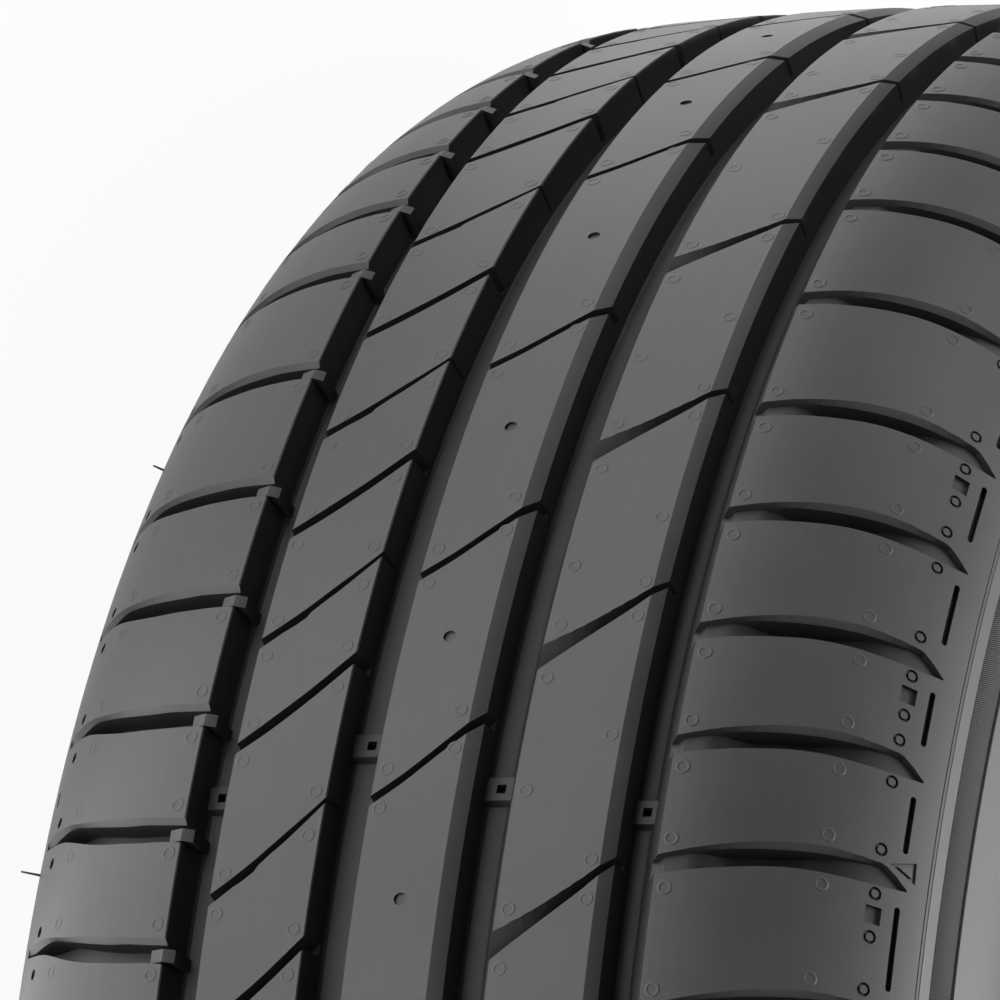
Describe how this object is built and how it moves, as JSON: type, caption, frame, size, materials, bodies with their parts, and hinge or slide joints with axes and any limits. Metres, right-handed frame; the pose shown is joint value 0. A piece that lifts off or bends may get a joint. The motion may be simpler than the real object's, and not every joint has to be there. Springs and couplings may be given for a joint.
{
  "type": "car tyre",
  "caption": "Passenger-car tyre with a grooved and slotted ribbed tread, rounded shoulders, plain sidewalls and open bead seats for a wheel rim.",
  "frame": {"origin": "centre of the tyre: on the wheel axis, in the middle plane of the tread", "axes": "+Z along the wheel axis, up as the tyre lies on one sidewall; -Y towards the viewer"},
  "size_m": [0.6326, 0.6326, 0.214],
  "materials": {
    "rubber": "matt moulded rubber"
  },
  "bodies": {
    "root": {"tyre": "rubber"}
  },
  "joints": []
}
